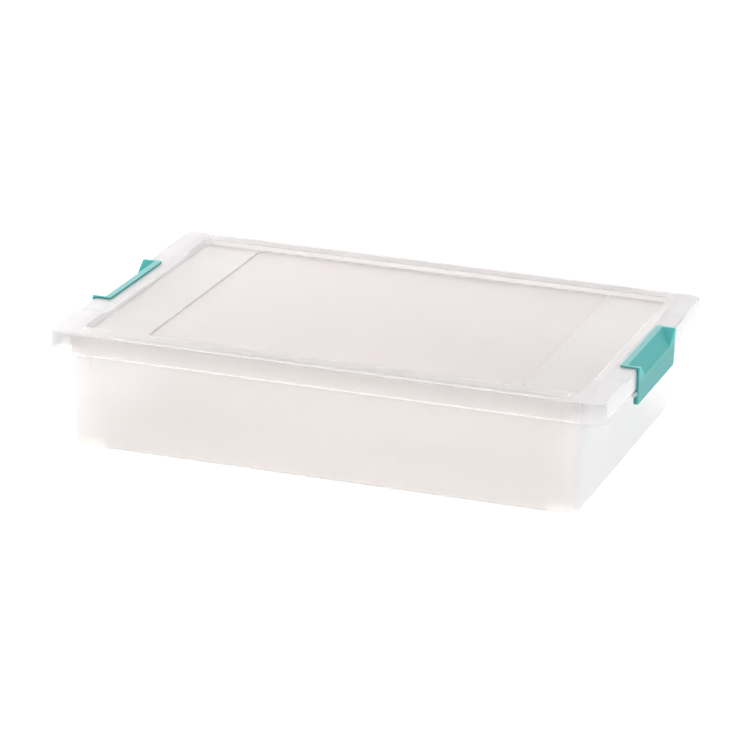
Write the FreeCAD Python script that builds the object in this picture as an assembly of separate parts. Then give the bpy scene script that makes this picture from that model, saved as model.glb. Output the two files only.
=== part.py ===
import FreeCAD, Part
import math
import os

# Low latch-lid storage box for the space under a bed. Millimetres, +Z up, X along the box.
# The box stands on its feet at z = 0 and is centred on the Z axis.

# ---- driving dimensions ----
LID_TOP = 126.0          # height of the lid's flat rim band
LID_HALF_X = 294.6       # lid outline at the top edge
LID_HALF_Y = 212.1
LID_CORNER = 14.5
SKIRT_DROP = 23.0        # height of the lid's skirt
SKIRT_FLARE = 0.7        # the skirt leans out by this much down to its lower edge
SKIRT_WALL = 1.8
LID_PLATE = 2.0
TOP_EDGE_ROUND = 2.0
SKIRT_EDGE_ROUND = 0.8

RECESS_HALF_X = 263.8    # sunken field inside the rim band, outline at the lid top
RECESS_HALF_Y = 185.7
RECESS_CORNER = 9.0
RECESS_DEPTH = 4.5
RECESS_SLOPE = 1.6       # the recess walls lean in by this much over the depth
RECESS_ROUND = 1.0
PANEL_HALF_X = 199.4     # middle panel, one small step lower than the two end bands
PANEL_HALF_Y = 182.6
PANEL_CORNER = 14.0
PANEL_STEP = 1.2
PANEL_SLOPE = 0.6
PANEL_ROUND = 0.4
SADDLE_HALF_Y = 124.0    # stretch of the end rim band lowered for the latch flange
SADDLE_RAMP = 15.0
SADDLE_DEPTH = 1.6
LIP_WALL = 1.6           # locating lip under the lid, just inside the tub's mouth
LIP_REACH = 9.0
LIP_GAP = 1.2

FOOT_HEIGHT = 3.5
FOOT_SIZE = (30.0, 22.0)
FOOT_CENTRE = (251.5, 187.5)
FOOT_CORNER = 9.0
TUB_WALL = 2.0
TUB_FLOOR = 2.2
MOUTH_HALF_X = 276.2     # outside of the tub walls at rim height
MOUTH_HALF_Y = 207.6
MOUTH_CORNER = 17.0
BASE_HALF_X = 271.0      # outside of the tub walls at the floor
BASE_HALF_Y = 202.6
BASE_CORNER = 14.0
BOTTOM_ROUND = 3.5

RIM_TOP_DROP = 4.0       # tub rim below the lid top
RIM_BOTTOM_DROP = 14.0   # lower edge of the rim's apron
RIM_HALF_X = 292.3
RIM_HALF_Y = 209.9
RIM_CORNER = 12.0
RIM_PLATE = 2.0
APRON_WALL = 1.8
RIM_SCOOP_GAP = 0.5      # clearance between the lid's hollow and the rim's
RIB_BOTTOM_DROP = 19.0
RIB_WALL = 1.6
RIB_ROOT_X = 274.2       # the ribs and lugs start inside the end wall
RIB_YS = (-150.0, -112.0, -60.0, -30.0, 0.0, 30.0, 60.0, 112.0, 150.0)
GUSSET_X = 250.0         # small upright webs under the rim, near both ends of each long side
GUSSET_BOTTOM_DROP = 46.5
GUSSET_WALL = 2.0
GUSSET_ROOT_Y = 203.6    # root of the web, inside the long wall
GUSSET_TOE_Y = 205.7
GUSSET_TIP_Y = 209.3
GUSSET_ROOT_DROP = 10.0  # the root reaches this far below the toe

LATCH_HALF_Y = 77.8
LATCH_INNER_X = 277.0    # inner edge of the flange that hooks over the lid
LATCH_OUTER_X = 297.8
LATCH_PLATE = 2.2
LATCH_RISE = 0.9         # flange top above the rim band
LATCH_DROP = 40.0        # lower edge of the latch below the lid top
FLANGE_GAP = 0.5
HOOK_BEAD = 0.2          # height of the bead under the flange's inner edge
HOOK_BEAD_WIDTH = 1.6
HOOK_BEAD_END = 4.0      # the bead stops this far from the latch's ends
LATCH_CORNER = 4.0       # lower corners of the latch's outer face
LATCH_EDGE_ROUND = 1.2
CREASE_ROUND = 1.5
STRIP_WIDTH = 6.5        # flat strip left along the flange's inner edge
CREASE_DROP = 13.8       # where the scoop meets the outer face
SCOOP_HALF_TOP = 75.0
SCOOP_HALF_CREASE = 54.5
SCOOP_WALL = 2.2
SCOOP_LID_GAP = 0.4
LIP_BAR_X = 292.8        # inner face of the thick lower bar
LIP_BAR_TOP_DROP = 24.2
PIVOT_X = 294.0
PIVOT_DROP = 27.5
PIN_RADIUS = 1.6
PIN_CLEARANCE = 0.07
PIN_END_Y = 81.0
PIN_ROOT = 6.0           # length of each pin sunk into the lower bar
LUG_RADIUS = 2.9
LUG_INNER_Y = 78.4
LUG_WALL = 4.0
LUG_CAP = 1.1            # closed outer end of the lug's bore
LUG_NECK_RISE = 11.0     # how far above the pin the lug leaves the end wall

FAR = 60.0               # cutters reach this far past the box
OVERLAP = 0.5            # solids to be joined, or a cutter and its face, run past each other
NEAR = 0.02              # two measures closer than this are the same
LONG_EDGE = 20.0         # the latch's creases are longer than this, its corner edges shorter


def from_top(drop):
    """Height of a level given as its distance below the lid top."""
    return LID_TOP - drop


def outline(half_x, half_y, radius, z):
    """Closed wire of a rectangle with rounded corners."""
    quarter = math.sqrt(0.5) * radius
    edges = []
    signs = [(1, 1), (-1, 1), (-1, -1), (1, -1)]
    corners = []
    for sx, sy in signs:
        cx = sx * (half_x - radius)
        cy = sy * (half_y - radius)
        on_x = FreeCAD.Vector(sx * half_x, cy, z)
        on_y = FreeCAD.Vector(cx, sy * half_y, z)
        middle = FreeCAD.Vector(cx + sx * quarter, cy + sy * quarter, z)
        first, last = (on_x, on_y) if sx * sy > 0 else (on_y, on_x)
        corners.append((first, middle, last))
    for i, (first, middle, last) in enumerate(corners):
        edges.append(Part.Arc(first, middle, last).toShape())
        following = corners[(i + 1) % 4][0]
        edges.append(Part.makeLine(last, following))
    return Part.Wire(edges)


def block(half_x, half_y, radius, z_low, z_high):
    """Upright block with rounded corners."""
    face = Part.Face(outline(half_x, half_y, radius, z_low))
    return face.extrude(FreeCAD.Vector(0, 0, z_high - z_low))


def drafted(low, high):
    """Block with leaning walls between two outlines, each (half_x, half_y, radius, z)."""
    return Part.makeLoft([outline(*low), outline(*high)], True, True)


def box(x0, x1, y0, y1, z0, z1):
    return Part.makeBox(x1 - x0, y1 - y0, z1 - z0, FreeCAD.Vector(x0, y0, z0))


def plate_xz(points, y_low, y_high):
    """Flat plate with its outline in the XZ plane."""
    ring = [FreeCAD.Vector(x, y_low, z) for x, z in points]
    face = Part.Face(Part.makePolygon(ring + ring[:1]))
    return face.extrude(FreeCAD.Vector(0, y_high - y_low, 0))


def plate_yz(points, x_low, x_high):
    """Flat plate with its outline in the YZ plane."""
    ring = [FreeCAD.Vector(x_low, y, z) for y, z in points]
    face = Part.Face(Part.makePolygon(ring + ring[:1]))
    return face.extrude(FreeCAD.Vector(x_high - x_low, 0, 0))


def rod(radius, y_low, y_high, x, z):
    """Round bar along Y."""
    return Part.makeCylinder(radius, y_high - y_low, FreeCAD.Vector(x, y_low, z), FreeCAD.Vector(0, 1, 0))


def mirrored(shape):
    """The same shape at the other short end."""
    return shape.mirror(FreeCAD.Vector(0, 0, 0), FreeCAD.Vector(1, 0, 0))


def both_ends(shape):
    return shape.fuse(mirrored(shape))


def scoop(grow):
    """Hollow in the right end's top edge: a slanted floor between two leaning cheeks.

    The latch, the lid and the tub rim nest in it, each one grown a little more than the last."""
    x_strip = LATCH_INNER_X + STRIP_WIDTH
    z_top = LID_TOP + LATCH_RISE
    z_crease = from_top(CREASE_DROP)
    run = LATCH_OUTER_X - x_strip
    fall = z_top - z_crease
    slope = math.hypot(run, fall)
    along = (run / slope, -fall / slope)
    inward = (-fall / slope, -run / slope)
    start = (x_strip + inward[0] * grow, z_top + inward[1] * grow)
    upper = (start[0] - along[0] * FAR, start[1] - along[1] * FAR)
    lower = (start[0] + along[0] * 2 * FAR, start[1] + along[1] * 2 * FAR)
    shift = (-inward[0] * 3 * FAR, -inward[1] * 3 * FAR)
    floor_side = plate_xz(
        [upper, lower, (lower[0] + shift[0], lower[1] + shift[1]), (upper[0] + shift[0], upper[1] + shift[1])],
        -2 * FAR,
        2 * FAR,
    )
    lean = (SCOOP_HALF_TOP - SCOOP_HALF_CREASE) / fall
    widen = grow * math.hypot(1.0, lean)

    def half_at(z):
        return SCOOP_HALF_TOP + widen + (z - z_top) * lean

    z_low = from_top(LATCH_DROP)
    z_high = z_top + LATCH_CORNER
    cheeks = plate_yz(
        [(-half_at(z_low), z_low), (half_at(z_low), z_low), (half_at(z_high), z_high), (-half_at(z_high), z_high)],
        LATCH_INNER_X - FAR,
        LATCH_OUTER_X + FAR,
    )
    return floor_side.common(cheeks)


def edges_at(shape, z):
    """Edges that lie flat at one height."""
    found = []
    for edge in shape.Edges:
        bounds = edge.BoundBox
        if abs(bounds.ZMin - z) < NEAR and abs(bounds.ZMax - z) < NEAR:
            found.append(edge)
    return found


# ---- lid ----
def sunken(half_x, half_y, radius, z_floor, z_edge, lean):
    """Cutter for a sunken field: the outline is given at z_edge, the walls lean in below it."""
    reach = z_edge - z_floor
    return drafted(
        (half_x - lean, half_y - lean, radius - lean, z_floor),
        (half_x + lean, half_y + lean, radius + lean, z_edge + reach),
    )


def saddle(drop):
    """Cutter for the lowered stretch of the right end's rim band, ramped at both ends."""
    z_floor = from_top(SADDLE_DEPTH + drop)
    z_high = z_floor + 3 * SADDLE_DEPTH
    half_floor = SADDLE_HALF_Y - 0.5 * SADDLE_RAMP
    half_high = half_floor + SADDLE_RAMP * (z_high - z_floor) / SADDLE_DEPTH
    return plate_yz(
        [(-half_floor, z_floor), (half_floor, z_floor), (half_high, z_high), (-half_high, z_high)],
        RECESS_HALF_X - 0.5 * SADDLE_RAMP,
        LID_HALF_X + FAR,
    )


def band_edges(shape, outside):
    """Edges of the rim band: its outer outline, or the one around the recess."""
    found = []
    for edge in shape.Edges:
        bounds = edge.BoundBox
        if bounds.ZMin < from_top(SADDLE_DEPTH) - NEAR:
            continue
        across_band = bounds.YLength < NEAR and abs(bounds.YMin) < RECESS_HALF_Y - RECESS_CORNER
        if across_band:
            continue
        reach_x = max(abs(bounds.XMin), abs(bounds.XMax))
        reach_y = max(abs(bounds.YMin), abs(bounds.YMax))
        is_outside = reach_x > RECESS_HALF_X + RECESS_DEPTH or reach_y > RECESS_HALF_Y + RECESS_DEPTH
        if is_outside == outside:
            found.append(edge)
    return found


def panel_edges(shape, z):
    return [edge for edge in edges_at(shape, z) if abs(edge.BoundBox.XMax) < PANEL_HALF_X + PANEL_SLOPE]


def make_lid():
    skirt_low = from_top(SKIRT_DROP)
    recess_z = from_top(RECESS_DEPTH)
    panel_z = recess_z - PANEL_STEP
    recess = sunken(RECESS_HALF_X, RECESS_HALF_Y, RECESS_CORNER, recess_z, LID_TOP, RECESS_SLOPE)
    panel = sunken(PANEL_HALF_X, PANEL_HALF_Y, PANEL_CORNER, panel_z, recess_z, PANEL_SLOPE)
    outer = drafted(
        (LID_HALF_X + SKIRT_FLARE, LID_HALF_Y + SKIRT_FLARE, LID_CORNER + SKIRT_FLARE, skirt_low),
        (LID_HALF_X, LID_HALF_Y, LID_CORNER, LID_TOP),
    )
    outer = outer.makeFillet(SKIRT_EDGE_ROUND, edges_at(outer, skirt_low))
    outer = outer.cut(both_ends(saddle(0.0))).cut(recess)
    outer = outer.makeFillet(RECESS_ROUND, edges_at(outer, recess_z))
    outer = outer.makeFillet(TOP_EDGE_ROUND, band_edges(outer, True))
    outer = outer.makeFillet(RECESS_ROUND, band_edges(outer, False))
    outer = outer.cut(panel)
    outer = outer.makeFillet(PANEL_ROUND, panel_edges(outer, recess_z))
    outer = outer.makeFillet(PANEL_ROUND, panel_edges(outer, panel_z))
    notch_grow = SCOOP_WALL + SCOOP_LID_GAP
    outer = outer.cut(both_ends(scoop(notch_grow)))

    inner = drafted(
        (
            LID_HALF_X + SKIRT_FLARE - SKIRT_WALL,
            LID_HALF_Y + SKIRT_FLARE - SKIRT_WALL,
            LID_CORNER + SKIRT_FLARE - SKIRT_WALL,
            skirt_low,
        ),
        (LID_HALF_X - SKIRT_WALL, LID_HALF_Y - SKIRT_WALL, LID_CORNER - SKIRT_WALL, from_top(LID_PLATE)),
    )
    recess_under = sunken(
        RECESS_HALF_X + LID_PLATE,
        RECESS_HALF_Y + LID_PLATE,
        RECESS_CORNER + LID_PLATE,
        recess_z - LID_PLATE,
        from_top(LID_PLATE),
        RECESS_SLOPE,
    )
    panel_under = block(
        PANEL_HALF_X + LID_PLATE,
        PANEL_HALF_Y + LID_PLATE,
        PANEL_CORNER + LID_PLATE,
        panel_z - LID_PLATE,
        recess_z,
    )
    inner = inner.cut(recess_under).cut(panel_under).cut(both_ends(saddle(LID_PLATE)))
    inner = inner.cut(both_ends(scoop(notch_grow + LID_PLATE)))
    shell = outer.cut(inner)

    lip_x = MOUTH_HALF_X - TUB_WALL - LIP_GAP
    lip_y = MOUTH_HALF_Y - TUB_WALL - LIP_GAP
    lip_corner = MOUTH_CORNER - TUB_WALL - LIP_GAP
    lip_low = from_top(LID_PLATE + LIP_REACH)
    lip_high = from_top(0.5 * LID_PLATE)
    lip = block(lip_x, lip_y, lip_corner, lip_low, lip_high).cut(
        block(lip_x - LIP_WALL, lip_y - LIP_WALL, lip_corner - LIP_WALL, lip_low - 1, lip_high + 1)
    )
    lip = lip.cut(both_ends(saddle(0.0)))
    return shell.fuse(lip).removeSplitter()


# ---- tub ----
def make_tub():
    rim_top = from_top(RIM_TOP_DROP)
    rim_low = from_top(RIM_BOTTOM_DROP)
    walls = drafted(
        (BASE_HALF_X, BASE_HALF_Y, BASE_CORNER, FOOT_HEIGHT),
        (MOUTH_HALF_X, MOUTH_HALF_Y, MOUTH_CORNER, rim_top),
    )
    walls = walls.makeFillet(BOTTOM_ROUND, edges_at(walls, FOOT_HEIGHT))
    floor_z = FOOT_HEIGHT + TUB_FLOOR
    rise = (floor_z - FOOT_HEIGHT) / (rim_top - FOOT_HEIGHT)
    lean = MOUTH_HALF_X - BASE_HALF_X
    hollow = drafted(
        (
            BASE_HALF_X + lean * rise - TUB_WALL,
            BASE_HALF_Y + lean * rise - TUB_WALL,
            BASE_CORNER - TUB_WALL,
            floor_z,
        ),
        (MOUTH_HALF_X - TUB_WALL, MOUTH_HALF_Y - TUB_WALL, MOUTH_CORNER - TUB_WALL, rim_top),
    )
    hollow = hollow.makeFillet(BOTTOM_ROUND - TUB_WALL, edges_at(hollow, floor_z))
    mouth = block(
        MOUTH_HALF_X - TUB_WALL,
        MOUTH_HALF_Y - TUB_WALL,
        MOUTH_CORNER - TUB_WALL,
        rim_top - NEAR,
        LID_TOP,
    )
    rim_grow = SCOOP_WALL + SCOOP_LID_GAP + LID_PLATE + RIM_SCOOP_GAP
    rim = block(RIM_HALF_X, RIM_HALF_Y, RIM_CORNER, rim_low, rim_top)
    rim = rim.cut(both_ends(scoop(rim_grow)))
    under = block(
        RIM_HALF_X - APRON_WALL,
        MOUTH_HALF_Y - OVERLAP,
        RIM_CORNER - APRON_WALL,
        rim_low - OVERLAP,
        rim_top - RIM_PLATE,
    )
    under = under.cut(both_ends(scoop(rim_grow + RIM_PLATE)))
    tub = walls.fuse(rim.cut(under))

    ribs = []
    for y in RIB_YS:
        rib = box(
            RIB_ROOT_X,
            RIM_HALF_X - 0.5 * APRON_WALL,
            y - 0.5 * RIB_WALL,
            y + 0.5 * RIB_WALL,
            from_top(RIB_BOTTOM_DROP),
            rim_top - 0.5 * RIM_PLATE,
        )
        ribs.append(rib.cut(scoop(rim_grow + 0.5 * RIM_PLATE)))
    lugs = [lug(side) for side in (-1, 1)]
    end_parts = ribs[0].multiFuse(ribs[1:] + lugs)
    tub = tub.fuse(both_ends(end_parts))

    feet = []
    gussets = []
    for sx in (-1, 1):
        for sy in (-1, 1):
            foot = block(0.5 * FOOT_SIZE[0], 0.5 * FOOT_SIZE[1], FOOT_CORNER, 0.0, FOOT_HEIGHT + OVERLAP)
            foot.translate(FreeCAD.Vector(sx * FOOT_CENTRE[0], sy * FOOT_CENTRE[1], 0))
            feet.append(foot)
            gussets.append(gusset(sx, sy))
    tub = tub.multiFuse(feet + gussets)
    tub = tub.cut(hollow.fuse(mouth))
    for side in (-1, 1):
        y_mouth = side * (LUG_INNER_Y - OVERLAP)
        y_blind = side * (LUG_INNER_Y + LUG_WALL - LUG_CAP)
        y_low = min(y_mouth, y_blind)
        y_high = max(y_mouth, y_blind)
        bore = rod(PIN_RADIUS + PIN_CLEARANCE, y_low, y_high, PIVOT_X, from_top(PIVOT_DROP))
        tub = tub.cut(both_ends(bore))
    return tub.removeSplitter()


def lug(side):
    """Ear under the right end's rim that carries one latch pin."""
    y_near = side * LUG_INNER_Y
    y_far = side * (LUG_INNER_Y + LUG_WALL)
    y_low = min(y_near, y_far)
    y_high = max(y_near, y_far)
    pivot_z = from_top(PIVOT_DROP)
    neck_x = RIM_HALF_X
    root_z = from_top(RIM_TOP_DROP + 0.5 * RIM_PLATE)
    ear = plate_xz(
        [
            (RIB_ROOT_X, root_z),
            (neck_x, root_z),
            (neck_x, pivot_z),
            (PIVOT_X - LUG_RADIUS, pivot_z),
            (RIB_ROOT_X, pivot_z + LUG_NECK_RISE),
        ],
        y_low,
        y_high,
    )
    return ear.fuse(rod(LUG_RADIUS, y_low, y_high, PIVOT_X, pivot_z))


def gusset(sx, sy):
    """Small upright web on a long wall under the rim."""
    z_high = from_top(RIM_BOTTOM_DROP - OVERLAP)
    z_low = from_top(GUSSET_BOTTOM_DROP)
    web = plate_yz(
        [
            (sy * GUSSET_ROOT_Y, z_low - GUSSET_ROOT_DROP),
            (sy * GUSSET_TOE_Y, z_low),
            (sy * GUSSET_TIP_Y, z_high),
            (sy * GUSSET_ROOT_Y, z_high),
        ],
        -0.5 * GUSSET_WALL,
        0.5 * GUSSET_WALL,
    )
    web.translate(FreeCAD.Vector(sx * GUSSET_X, 0, 0))
    return web


# ---- latch, drawn at the right end ----
def latch_front(x_low, x_high):
    """Slab with the latch's outline seen from the end of the box, its two lower corners rounded."""
    bottom = from_top(LATCH_DROP)
    slab = box(x_low, x_high, -LATCH_HALF_Y, LATCH_HALF_Y, bottom, LID_TOP + LATCH_RISE)
    corners = []
    for edge in slab.Edges:
        bounds = edge.BoundBox
        if bounds.XLength > NEAR and abs(bounds.ZMax - bottom) < NEAR:
            corners.append(edge)
    return slab.makeFillet(LATCH_CORNER, corners)


def outer_face_edges(latch):
    """Edges around the latch's outer face, apart from the ones at the top and in the scoop."""
    found = []
    for edge in latch.Edges:
        bounds = edge.BoundBox
        on_face = bounds.XMin > LATCH_OUTER_X - NEAR
        at_side = max(abs(bounds.YMin), abs(bounds.YMax)) > LATCH_HALF_Y - NEAR
        at_top = bounds.ZMin > LID_TOP
        if on_face and at_side and not at_top:
            found.append(edge)
    return found


def crease_edges(latch):
    """The scoop's lower crease on the outer face and its upper one along the flange strip."""
    creases = [
        (LATCH_OUTER_X, from_top(CREASE_DROP)),
        (LATCH_INNER_X + STRIP_WIDTH, LID_TOP + LATCH_RISE),
    ]
    found = []
    for edge in latch.Edges:
        bounds = edge.BoundBox
        for x, z in creases:
            on_crease = abs(bounds.XMin - x) < NEAR and abs(bounds.ZMin - z) < NEAR
            along_y = bounds.XLength < NEAR and bounds.ZLength < NEAR and bounds.YLength > LONG_EDGE
            if on_crease and along_y:
                found.append(edge)
    return found


def bar_edges(latch):
    """The long inner edge at the foot of the lower bar."""
    found = []
    for edge in latch.Edges:
        bounds = edge.BoundBox
        at_foot = abs(bounds.ZMin - from_top(LATCH_DROP)) < NEAR and abs(bounds.XMin - LIP_BAR_X) < NEAR
        if at_foot and bounds.XLength < NEAR and bounds.YLength > LONG_EDGE:
            found.append(edge)
    return found


def make_latch():
    top = LID_TOP + LATCH_RISE
    bottom = from_top(LATCH_DROP)
    flange_low = from_top(SADDLE_DEPTH) + FLANGE_GAP
    plate_in = LATCH_OUTER_X - LATCH_PLATE
    profile = plate_xz(
        [
            (LATCH_INNER_X, flange_low),
            (LATCH_INNER_X, top),
            (LATCH_OUTER_X, top),
            (LATCH_OUTER_X, bottom),
            (LIP_BAR_X, bottom),
            (LIP_BAR_X, from_top(LIP_BAR_TOP_DROP)),
            (plate_in, from_top(LIP_BAR_TOP_DROP)),
            (plate_in, flange_low),
        ],
        -LATCH_HALF_Y,
        LATCH_HALF_Y,
    )
    profile = profile.common(latch_front(LATCH_INNER_X - OVERLAP, LATCH_OUTER_X + OVERLAP))
    behind_scoop = box(
        LATCH_INNER_X + 0.5 * STRIP_WIDTH,
        plate_in + OVERLAP,
        -LATCH_HALF_Y,
        LATCH_HALF_Y,
        from_top(LIP_BAR_TOP_DROP),
        flange_low + OVERLAP,
    )
    sheet = behind_scoop.common(scoop(SCOOP_WALL)).cut(scoop(0.0))
    latch = profile.cut(scoop(0.0)).fuse(sheet).removeSplitter()
    latch = latch.makeFillet(LATCH_EDGE_ROUND, outer_face_edges(latch))
    latch = latch.makeFillet(LATCH_EDGE_ROUND, bar_edges(latch))
    latch = latch.makeFillet(CREASE_ROUND, crease_edges(latch))
    bead = box(
        LATCH_INNER_X,
        LATCH_INNER_X + HOOK_BEAD_WIDTH,
        -LATCH_HALF_Y + HOOK_BEAD_END,
        LATCH_HALF_Y - HOOK_BEAD_END,
        flange_low - HOOK_BEAD,
        flange_low + OVERLAP,
    )
    latch = latch.fuse(bead)
    for side in (-1, 1):
        y_root = side * (LATCH_HALF_Y - PIN_ROOT)
        y_end = side * PIN_END_Y
        pin = rod(PIN_RADIUS, min(y_root, y_end), max(y_root, y_end), PIVOT_X, from_top(PIVOT_DROP))
        latch = latch.fuse(pin)
    return latch.removeSplitter()


def write(name, shape):
    shape = shape.Solids[0] if len(shape.Solids) == 1 else shape
    print(name, shape.ShapeType, "solids", len(shape.Solids), "valid", shape.isValid(), "volume", round(shape.Volume))
    shape.exportStep(os.path.join("parts", name + ".step"))


def main():
    os.makedirs("parts", exist_ok=True)
    latch = make_latch()
    write("tub", make_tub())
    write("lid", make_lid())
    write("latch_right", latch)
    write("latch_left", mirrored(latch))


main()
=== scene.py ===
import math

import bpy
from mathutils import Matrix, Vector

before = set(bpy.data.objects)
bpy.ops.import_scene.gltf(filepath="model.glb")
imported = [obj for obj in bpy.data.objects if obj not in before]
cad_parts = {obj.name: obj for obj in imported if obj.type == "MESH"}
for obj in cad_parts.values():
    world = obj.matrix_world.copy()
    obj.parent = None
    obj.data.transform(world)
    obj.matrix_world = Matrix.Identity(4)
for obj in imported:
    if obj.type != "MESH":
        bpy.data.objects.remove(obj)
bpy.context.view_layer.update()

# ---- camera, in metres and degrees ----
CAMERA_PLACE = Vector((1.2100, -4.0327, 1.3724))
CAMERA_AZIMUTH = 16.78
CAMERA_ELEVATION = 17.36
CAMERA_ROLL = 2.57
CAMERA_LENS = 200.4
SENSOR_WIDTH = 36.0
VIEW_DEPTH = 100.0

# ---- colours, linear ----
TUB_MILK = (0.965, 0.93, 0.91, 1.0)
# painted light: the tub's end walls are coloured a cooler white, standing in for the cool lamp from
# the side
TUB_END_PAINTED_COOL_LIGHT = (0.96, 0.955, 0.955, 1.0)
LID_MILK = (0.985, 0.95, 0.94, 1.0)
# painted shade: the recessed end bands are coloured darker and greyer than the rim
BAND_PAINTED_SHADE = (0.94, 0.905, 0.895, 1.0)
PANEL_MILK = (0.98, 0.925, 0.915, 1.0)
# painted shade: the lid's end skirts are coloured darker to hold back the light the lamps put there
SKIRT_END_PAINTED_SHADE = (0.80, 0.785, 0.785, 1.0)
AQUA = (0.055, 0.31, 0.30, 1.0)
# painted sheen: the flat top strip of the latch flange is coloured paler, standing in for a grazing
# reflection
AQUA_PAINTED_SHEEN = (0.18, 0.395, 0.38, 1.0)
# painted shade: the latch's upright outer face is coloured deeper
AQUA_PAINTED_SHADE = (0.038, 0.245, 0.23, 1.0)
FLOOR_WHITE = (0.9, 0.9, 0.9, 1.0)

# ---- how much of the light the milky plastic lets through ----
LID_CLEAR = 0.83
TUB_CLEAR = 0.75
TUB_CORNER_CLEAR = 0.68
EDGE_CLEAR = 0.6
RECESS_WALL_CLEAR = 0.42
RIM_END_CLEAR = 0.61
SKIRT_END_CLEAR = 0.6

# ---- surface: roughness, and how strongly the grain and the slow waves show ----
MILKY_IOR = 1.49
MILKY_GRAIN_SCALE = 900.0
MILKY_GRAIN = 0.05
LID_ROUGH = 0.26
LID_WAVES = 0.03
PANEL_ROUGH = 0.5
TUB_ROUGH = 0.3
TUB_WAVES = 0.2
LATCH_ROUGH = 0.5
LATCH_SHEEN = 0.22
LATCH_GRAIN_SCALE = 700.0
LATCH_GRAIN = 0.1
LATCH_WAVES = 0.1
LATCH_SOAK = 0.5          # share of the light that scatters inside the latch
LATCH_SOAK_RADIUS = (0.3, 1.0, 0.95)
LATCH_SOAK_DEPTH = 0.012
WAVE_SCALE = 9.0
WAVE_HEIGHT = 0.002
GRAIN_HEIGHT = 0.0002

# ---- studio: softboxes as name, place, size, power in watts, colour ----
WORLD_COLOUR = (0.98, 0.99, 1.0, 1.0)
WORLD_STRENGTH = 1.19
FLOOR_GLOW = 0.5
FLOOR_SIZE = 30.0
FLOOR_ROUGH = 0.9
GLOW_WHITE = (1.0, 1.0, 1.0, 1.0)
LAMP_AIM = Vector((0.0, 0.0, 0.08))
SOFTBOXES = (
    ("left", (-1.25, 0.4, 0.9), (0.9, 0.9), 7.5, (1.0, 0.96, 0.97)),
    ("front_left", (-1.0, -2.2, 1.5), (1.4, 1.2), 7.5, (0.99, 1.0, 1.0)),
    ("front", (0.8, -2.8, 0.9), (1.6, 1.0), 6.2, (0.98, 1.0, 1.0)),
    ("back_left", (-1.7, 1.7, 1.1), (1.6, 1.2), 4.0, (0.96, 1.0, 1.0)),
    ("right", (2.1, -0.2, 0.8), (1.6, 1.2), 4.5, (0.72, 0.92, 1.0)),
)

# ---- places on the lid and the tub that look different, metres ----
PANEL_HALF = (0.1994, 0.1826)
RECESS_HALF = (0.2642, 0.1861)
RECESS_FLOOR_Z = 0.1217
RIM_BAND_Z = 0.1257
LID_EDGE_HALF = (0.2930, 0.2105)
LID_EDGE_Z = 0.1242
SKIRT_EDGE_Z = 0.1042
RIM_END_X = (0.21, 0.28)
SKIRT_END_X = (0.262, 0.283)
TUB_EDGE_Z = 0.0072
TUB_FOOT_Z = (0.045, 0.012)
TUB_CORNER_X = (0.235, 0.262)
TUB_END_X = (0.262, 0.271)
LATCH_STRIP_Z = 0.1264
LATCH_FACE_Z = (0.116, 0.108)


def new_material(name):
    material = bpy.data.materials.new(name)
    material.use_nodes = True
    nodes = material.node_tree.nodes
    return material, nodes, material.node_tree.links, nodes["Principled BSDF"]


def add_grain(nodes, links, shader, grain, strength, waves):
    """Fine moulded texture over a slow unevenness of the surface."""
    place = nodes.new("ShaderNodeTexCoord")
    fine = nodes.new("ShaderNodeTexNoise")
    fine.inputs["Scale"].default_value = grain
    slow = nodes.new("ShaderNodeTexNoise")
    slow.inputs["Scale"].default_value = WAVE_SCALE
    first = nodes.new("ShaderNodeBump")
    first.inputs["Strength"].default_value = waves
    first.inputs["Distance"].default_value = WAVE_HEIGHT
    second = nodes.new("ShaderNodeBump")
    second.inputs["Strength"].default_value = strength
    second.inputs["Distance"].default_value = GRAIN_HEIGHT
    links.new(place.outputs["Object"], fine.inputs["Vector"])
    links.new(place.outputs["Object"], slow.inputs["Vector"])
    links.new(slow.outputs["Fac"], first.inputs["Height"])
    links.new(first.outputs["Normal"], second.inputs["Normal"])
    links.new(fine.outputs["Fac"], second.inputs["Height"])
    links.new(second.outputs["Normal"], shader.inputs["Normal"])


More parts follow.
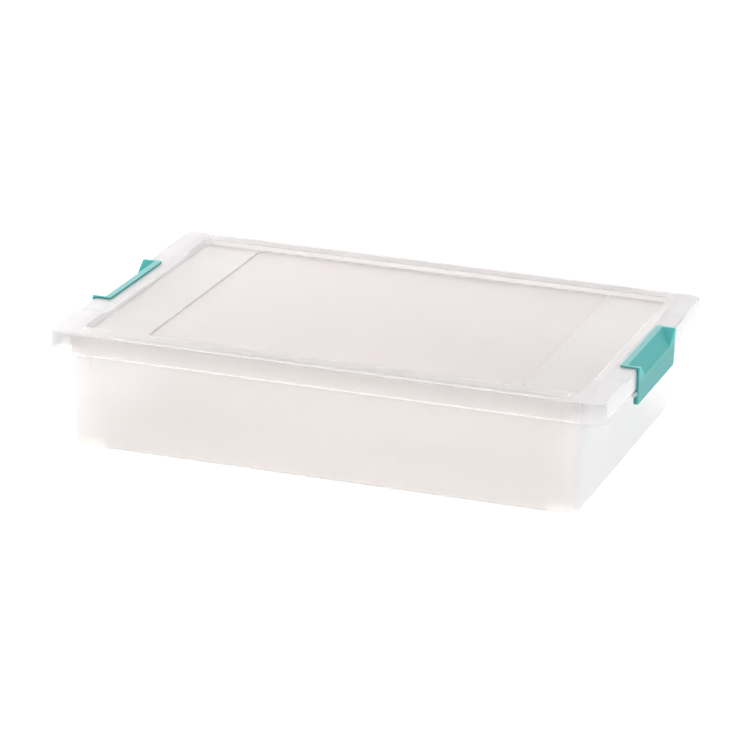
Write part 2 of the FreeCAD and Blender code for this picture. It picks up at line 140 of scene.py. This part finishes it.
class Fields:
    """Numbers over a part's surface, made with nodes from the place of the shaded point."""

    def __init__(self, nodes, links):
        self.nodes = nodes
        self.links = links
        place = nodes.new("ShaderNodeTexCoord")
        split = nodes.new("ShaderNodeSeparateXYZ")
        links.new(place.outputs["Object"], split.inputs[0])
        self.x = self.calc("ABSOLUTE", split.outputs["X"])
        self.y = self.calc("ABSOLUTE", split.outputs["Y"])
        self.z = split.outputs["Z"]

    def feed(self, socket, value):
        if isinstance(value, (float, tuple)):
            socket.default_value = value
        else:
            self.links.new(value, socket)

    def calc(self, operation, *values):
        node = self.nodes.new("ShaderNodeMath")
        node.operation = operation
        for socket, value in zip(node.inputs, values):
            self.feed(socket, value)
        return node.outputs[0]

    def below(self, value, limit):
        return self.calc("LESS_THAN", value, limit)

    def above(self, value, limit):
        return self.calc("GREATER_THAN", value, limit)

    def both(self, first, second):
        return self.calc("MULTIPLY", first, second)

    def either(self, first, second):
        return self.calc("MAXIMUM", first, second)

    def outside(self, mask):
        return self.calc("SUBTRACT", 1.0, mask)

    def inside(self, half):
        """One within the rectangle of these half sizes, zero outside it."""
        return self.both(self.below(self.x, half[0]), self.below(self.y, half[1]))

    def ramp(self, value, span):
        """Runs from zero to one while the value runs along the span."""
        node = self.nodes.new("ShaderNodeMapRange")
        node.inputs["From Min"].default_value = span[0]
        node.inputs["From Max"].default_value = span[1]
        self.links.new(value, node.inputs["Value"])
        return node.outputs["Result"]

    def blend(self, mask, low, high):
        """Number or colour that goes from low to high with the mask."""
        node = self.nodes.new("ShaderNodeMix")
        colour = isinstance(high, tuple)
        node.data_type = "RGBA" if colour else "FLOAT"
        pick = [i for i in node.inputs if i.enabled]
        for socket, value in zip(pick, (mask, low, high)):
            self.feed(socket, value)
        return [o for o in node.outputs if o.enabled][0]


def milky_plastic(name, roughness, waves):
    """Natural polypropylene: light soaks into it and comes through its thin walls."""
    material, nodes, links, shader = new_material(name)
    shader.inputs["Roughness"].default_value = roughness
    shader.inputs["IOR"].default_value = MILKY_IOR
    add_grain(nodes, links, shader, MILKY_GRAIN_SCALE, MILKY_GRAIN, waves)
    return material, shader, Fields(nodes, links)


def lid_plastic():
    """Clear rim and end bands, a frosted middle panel, and edges that catch the light; painted shade
    darkens the recessed end bands and the end skirts.
    """
    material, shader, fields = milky_plastic("lid_milky", LID_ROUGH, LID_WAVES)
    panel = fields.inside(PANEL_HALF)
    recess = fields.inside(RECESS_HALF)
    step = fields.both(fields.above(fields.z, RECESS_FLOOR_Z), fields.below(fields.z, RIM_BAND_Z))
    recess_wall = fields.both(step, recess)
    top = fields.above(fields.z, LID_EDGE_Z)
    top_edge = fields.both(top, fields.outside(fields.inside(LID_EDGE_HALF)))
    low_edge = fields.below(fields.z, SKIRT_EDGE_Z)
    edges = fields.either(top_edge, low_edge)
    rim_end = fields.both(fields.both(top, fields.outside(recess)), fields.ramp(fields.x, RIM_END_X))
    skirt_end = fields.both(fields.outside(top), fields.ramp(fields.x, SKIRT_END_X))

    # painted shade: inside the recess the colour turns darker and greyer
    colour = fields.blend(recess, LID_MILK, BAND_PAINTED_SHADE)
    colour = fields.blend(panel, colour, PANEL_MILK)
    # painted shade: the end skirts are darkened
    colour = fields.blend(skirt_end, colour, SKIRT_END_PAINTED_SHADE)
    fields.feed(shader.inputs["Base Color"], colour)
    fields.feed(shader.inputs["Roughness"], fields.blend(panel, LID_ROUGH, PANEL_ROUGH))
    clear = fields.blend(rim_end, LID_CLEAR, RIM_END_CLEAR)
    clear = fields.blend(skirt_end, clear, SKIRT_END_CLEAR)
    clear = fields.blend(edges, clear, EDGE_CLEAR)
    clear = fields.blend(recess_wall, clear, RECESS_WALL_CLEAR)
    fields.feed(shader.inputs["Transmission Weight"], clear)
    return material


def tub_plastic():
    """Milky walls, a little denser towards the floor and the upright corners; the end walls carry
    painted light, a cooler white.
    """
    material, shader, fields = milky_plastic("tub_milky", TUB_ROUGH, TUB_WAVES)
    end = fields.ramp(fields.x, TUB_END_X)
    # painted light: towards the ends the walls blend to a cooler white
    fields.feed(shader.inputs["Base Color"], fields.blend(end, TUB_MILK, TUB_END_PAINTED_COOL_LIGHT))
    corner = fields.both(fields.ramp(fields.x, TUB_CORNER_X), fields.outside(end))
    dense = fields.either(corner, fields.ramp(fields.z, TUB_FOOT_Z))
    clear = fields.blend(dense, TUB_CLEAR, TUB_CORNER_CLEAR)
    clear = fields.blend(fields.below(fields.z, TUB_EDGE_Z), clear, EDGE_CLEAR)
    fields.feed(shader.inputs["Transmission Weight"], clear)
    return material


def latch_plastic():
    """Satin aqua plastic, with a painted sheen making the flange's flat strip paler and painted
    shade making the upright face deeper.
    """
    material, nodes, links, shader = new_material("latch_aqua")
    shader.inputs["Roughness"].default_value = LATCH_ROUGH
    shader.inputs["Specular IOR Level"].default_value = LATCH_SHEEN
    shader.inputs["Subsurface Weight"].default_value = LATCH_SOAK
    shader.inputs["Subsurface Radius"].default_value = LATCH_SOAK_RADIUS
    shader.inputs["Subsurface Scale"].default_value = LATCH_SOAK_DEPTH
    fields = Fields(nodes, links)
    # painted shade: down the upright face the latch colour deepens
    colour = fields.blend(fields.ramp(fields.z, LATCH_FACE_Z), AQUA, AQUA_PAINTED_SHADE)
    # painted sheen: above the strip height the latch is coloured paler
    colour = fields.blend(fields.above(fields.z, LATCH_STRIP_Z), colour, AQUA_PAINTED_SHEEN)
    fields.feed(shader.inputs["Base Color"], colour)
    add_grain(nodes, links, shader, LATCH_GRAIN_SCALE, LATCH_GRAIN, LATCH_WAVES)
    return material


def dress(node, material):
    """Gives every slot of a CAD node the same material."""
    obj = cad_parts[node]
    for slot in obj.material_slots:
        slot.material = material


def add_floor():
    bpy.ops.mesh.primitive_plane_add(size=FLOOR_SIZE)
    floor = bpy.context.object
    floor.name = "floor"
    material, nodes, links, shader = new_material("floor_white")
    shader.inputs["Base Color"].default_value = FLOOR_WHITE
    shader.inputs["Roughness"].default_value = FLOOR_ROUGH
    shader.inputs["Emission Color"].default_value = GLOW_WHITE
    shader.inputs["Emission Strength"].default_value = FLOOR_GLOW
    floor.data.materials.append(material)


def add_world():
    world = bpy.data.worlds.new("studio")
    bpy.context.scene.world = world
    world.use_nodes = True
    background = world.node_tree.nodes["Background"]
    background.inputs["Color"].default_value = WORLD_COLOUR
    background.inputs["Strength"].default_value = WORLD_STRENGTH


def add_softbox(name, place, size, power, colour):
    light = bpy.data.lights.new(name, "AREA")
    light.shape = "RECTANGLE"
    light.size, light.size_y = size
    light.energy = power
    light.color = colour
    lamp = bpy.data.objects.new(name, light)
    lamp.location = place
    aim = LAMP_AIM - Vector(place)
    lamp.rotation_euler = aim.to_track_quat("-Z", "Y").to_euler()
    bpy.context.scene.collection.objects.link(lamp)


def add_camera():
    azimuth = math.radians(CAMERA_AZIMUTH)
    elevation = math.radians(CAMERA_ELEVATION)
    roll = math.radians(CAMERA_ROLL)
    back = Vector(
        (
            math.sin(azimuth) * math.cos(elevation),
            -math.cos(azimuth) * math.cos(elevation),
            math.sin(elevation),
        )
    )
    level = Vector((math.cos(azimuth), math.sin(azimuth), 0.0))
    upright = back.cross(level)
    right = math.cos(roll) * level + math.sin(roll) * upright
    up = math.cos(roll) * upright - math.sin(roll) * level
    data = bpy.data.cameras.new("camera")
    data.lens = CAMERA_LENS
    data.sensor_width = SENSOR_WIDTH
    data.clip_end = VIEW_DEPTH
    camera = bpy.data.objects.new("camera", data)
    turn = Matrix((right, up, back)).transposed().to_4x4()
    camera.matrix_world = Matrix.Translation(CAMERA_PLACE) @ turn
    bpy.context.scene.collection.objects.link(camera)
    bpy.context.scene.camera = camera


def main():
    scene = bpy.context.scene
    scene.view_settings.view_transform = "Standard"
    tub = tub_plastic()
    lid = lid_plastic()
    latch = latch_plastic()
    dress("tub", tub)
    dress("lid", lid)
    dress("latch_left", latch)
    dress("latch_right", latch)
    add_floor()
    add_world()
    for softbox in SOFTBOXES:
        add_softbox(*softbox)
    add_camera()


main()
